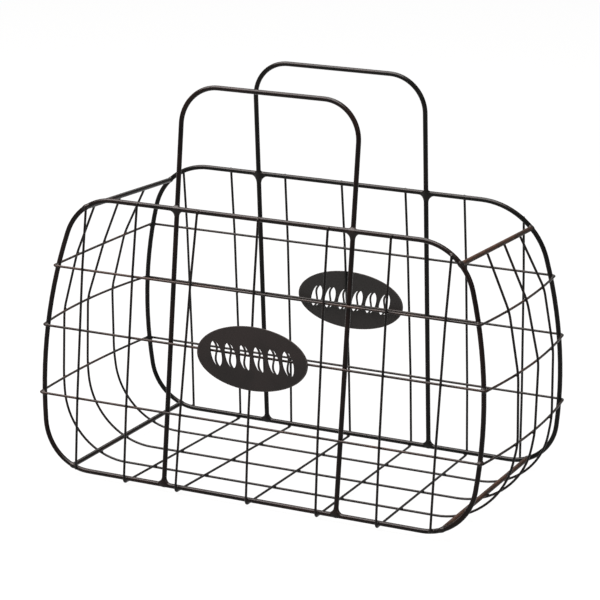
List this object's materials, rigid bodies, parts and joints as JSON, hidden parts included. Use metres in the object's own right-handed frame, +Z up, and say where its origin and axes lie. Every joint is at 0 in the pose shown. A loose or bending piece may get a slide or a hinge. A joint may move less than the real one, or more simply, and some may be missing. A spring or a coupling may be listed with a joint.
{
  "type": "wire shopping basket",
  "caption": "Open-top wire shopping basket with barrel-shaped heavy-wire rings, tall fixed twin handles, thin wire mesh walls and base, and pierced oval sign plates.",
  "frame": {"origin": "on the surface the basket stands on, at the middle of its bounding box", "axes": "+X along the length of the basket, +Y from the front ring to the rear ring, +Z up"},
  "size_m": [0.4552, 0.2204, 0.3681],
  "materials": {
    "frame_wire": "satin black-brown powder coat on heavy steel wire",
    "mesh_wire": "satin black-brown powder coat on thin steel wire",
    "sign_plate": "matt charcoal powder coat on steel sheet"
  },
  "bodies": {
    "root": {"front_ring": "frame_wire", "rear_ring": "frame_wire", "front_handle": "frame_wire", "rear_handle": "frame_wire", "top_left_crossbar": "frame_wire", "top_right_crossbar": "frame_wire", "bottom_left_crossbar": "frame_wire", "bottom_right_crossbar": "frame_wire", "upper_hoop": "mesh_wire", "middle_hoop": "mesh_wire", "lower_hoop": "mesh_wire", "cross_wire_1": "mesh_wire", "cross_wire_2": "mesh_wire", "cross_wire_3": "mesh_wire", "cross_wire_4": "mesh_wire", "cross_wire_5": "mesh_wire", "front_left_upright": "mesh_wire", "front_right_upright": "mesh_wire", "rear_left_upright": "mesh_wire", "rear_right_upright": "mesh_wire", "front_long_wire": "mesh_wire", "middle_long_wire": "mesh_wire", "rear_long_wire": "mesh_wire", "front_plate": "sign_plate", "rear_plate": "sign_plate", "front_weld_webs": "frame_wire", "rear_weld_webs": "frame_wire"}
  },
  "joints": []
}
